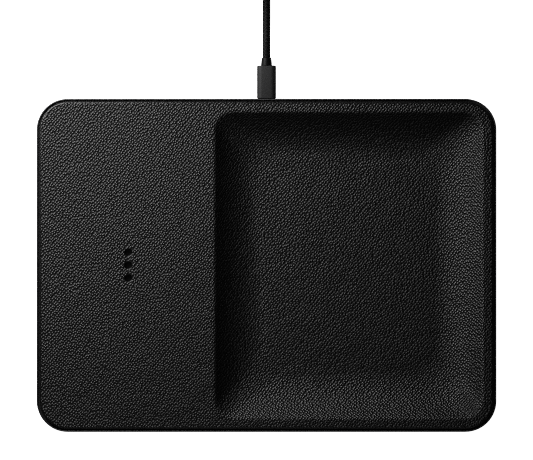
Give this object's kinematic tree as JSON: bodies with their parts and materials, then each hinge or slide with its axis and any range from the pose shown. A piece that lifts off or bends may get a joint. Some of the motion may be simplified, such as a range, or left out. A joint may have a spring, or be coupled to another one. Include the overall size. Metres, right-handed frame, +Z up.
{
  "type": "charging station organizer",
  "caption": "Rectangular leather-covered charging tray with a flat charging deck beside a coved dish, in a slim frame, with a braided cord plugged into its rear edge.",
  "frame": {"origin": "middle of the tray's footprint, on the surface it stands on", "axes": "+X to the right, from the charging deck to the dish; +Y to the rear, where the cord plugs in; +Z up"},
  "size_m": [0.26, 0.3122, 0.0194],
  "materials": {
    "leather": "black pebbled leather, satin",
    "frame": "smooth black powder coat",
    "shell": "moulded dark grey plastic",
    "pad": "fine matt black silicone",
    "screw": "zinc plated",
    "copper": "enamelled litz copper",
    "ferrite": "matt sintered ferrite",
    "board": "green solder mask",
    "chip": "moulded black epoxy",
    "capacitor": "tan ceramic with tinned ends",
    "can": "tinned sheet steel",
    "socket": "off-white nylon",
    "port": "drawn nickel plated shell",
    "insulator": "moulded black insulator",
    "plug": "satin black moulding",
    "braid": "black woven braid",
    "strap": "black hook and loop strap"
  },
  "bodies": {
    "tray": {"leather_cover": "leather", "deck_shell": "shell", "rim_frame": "frame", "base_pan": "shell", "grip_pad": "pad", "case_screws": "screw", "coil_carrier": "chip", "carrier_screws": "screw", "centre_coil": "copper", "front_coil": "copper", "rear_coil": "copper", "ferrite_sheet": "ferrite", "coil_sensor": "chip", "main_board": "board", "board_screws": "screw", "controller_chip": "chip", "power_switches": "chip", "tuning_capacitors": "capacitor", "supply_inductor": "ferrite", "shield_can": "can", "board_socket": "socket", "port_board": "board", "port_screws": "screw", "port_shell": "port", "port_tongue": "insulator", "port_socket": "socket", "link_cable": "insulator"},
    "supply_cord": {"plug_grip": "plug", "plug_shell": "port", "plug_core": "insulator", "plug_relief": "plug", "cord": "braid", "cord_coil": "braid", "cord_tie": "strap", "cord_tail": "braid", "supply_relief": "plug", "supply_grip": "plug", "supply_shell": "port", "supply_tongue": "insulator"}
  },
  "joints": [
    {"name": "plug_slide", "type": "slide", "parent": "tray", "child": "supply_cord", "axis": [0, 1, 0], "range_m": [0, 0.008]}
  ]
}
